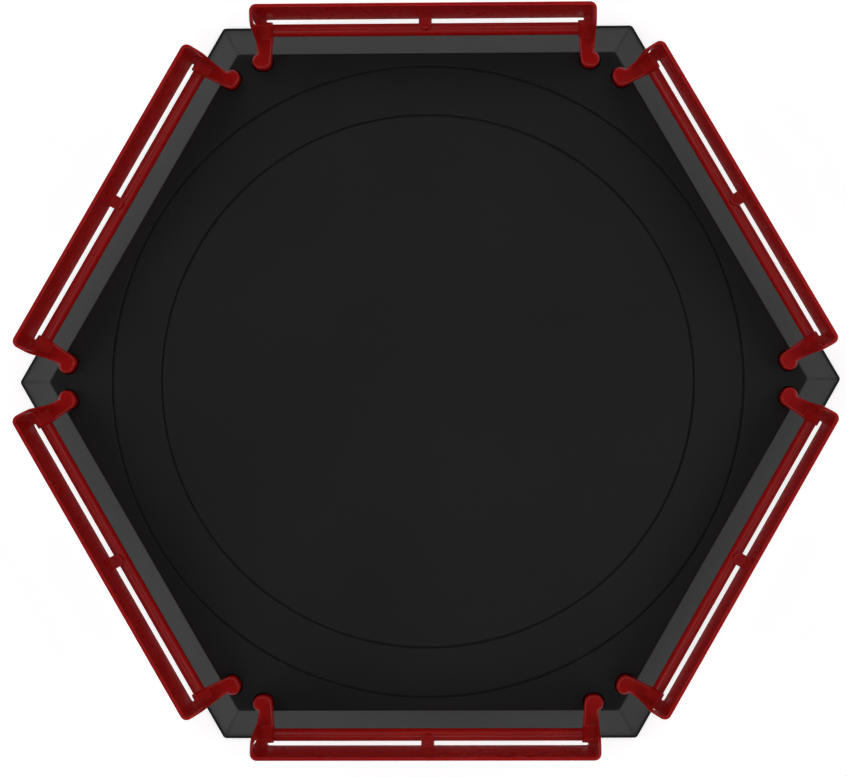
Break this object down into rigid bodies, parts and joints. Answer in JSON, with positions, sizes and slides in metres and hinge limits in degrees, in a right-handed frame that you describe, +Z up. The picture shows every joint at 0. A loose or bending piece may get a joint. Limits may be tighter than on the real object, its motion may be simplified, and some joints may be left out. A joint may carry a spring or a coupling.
{
  "type": "spinning top battle tray",
  "caption": "Hexagonal black game tray with a shallow round dish, a sloping skirt and red lift-off guard rails plugged in along its sides.",
  "frame": {"origin": "centre of the hexagon on the surface the tray stands on", "axes": "+X towards one corner of the hexagon, +Y square to one of its sides, +Z up"},
  "size_m": [0.3694, 0.3238, 0.056],
  "materials": {
    "base_plastic": "fine matte texture",
    "guard_plastic": "moulded gloss, deep red",
    "foot_rubber": "matte"
  },
  "bodies": {
    "tray": {"arena_base": "base_plastic", "rubber_foot_right": "foot_rubber", "rubber_foot_rear_right": "foot_rubber", "rubber_foot_rear_left": "foot_rubber", "rubber_foot_left": "foot_rubber", "rubber_foot_front_left": "foot_rubber", "rubber_foot_front_right": "foot_rubber"},
    "guard_rear": {"guard_rail_rear": "guard_plastic"},
    "guard_rear_left": {"guard_rail_rear_left": "guard_plastic"},
    "guard_front_left": {"guard_rail_front_left": "guard_plastic"},
    "guard_front": {"guard_rail_front": "guard_plastic"},
    "guard_front_right": {"guard_rail_front_right": "guard_plastic"},
    "guard_rear_right": {"guard_rail_rear_right": "guard_plastic"}
  },
  "joints": [
    {"name": "lift_guard_rear", "type": "slide", "parent": "tray", "child": "guard_rear", "axis": [0, 0, 1], "range_m": [0, 0.016]},
    {"name": "lift_guard_rear_left", "type": "slide", "parent": "tray", "child": "guard_rear_left", "axis": [0, 0, 1], "range_m": [0, 0.016]},
    {"name": "lift_guard_front_left", "type": "slide", "parent": "tray", "child": "guard_front_left", "axis": [0, 0, 1], "range_m": [0, 0.016]},
    {"name": "lift_guard_front", "type": "slide", "parent": "tray", "child": "guard_front", "axis": [0, 0, 1], "range_m": [0, 0.016]},
    {"name": "lift_guard_front_right", "type": "slide", "parent": "tray", "child": "guard_front_right", "axis": [0, 0, 1], "range_m": [0, 0.016]},
    {"name": "lift_guard_rear_right", "type": "slide", "parent": "tray", "child": "guard_rear_right", "axis": [0, 0, 1], "range_m": [0, 0.016]}
  ]
}
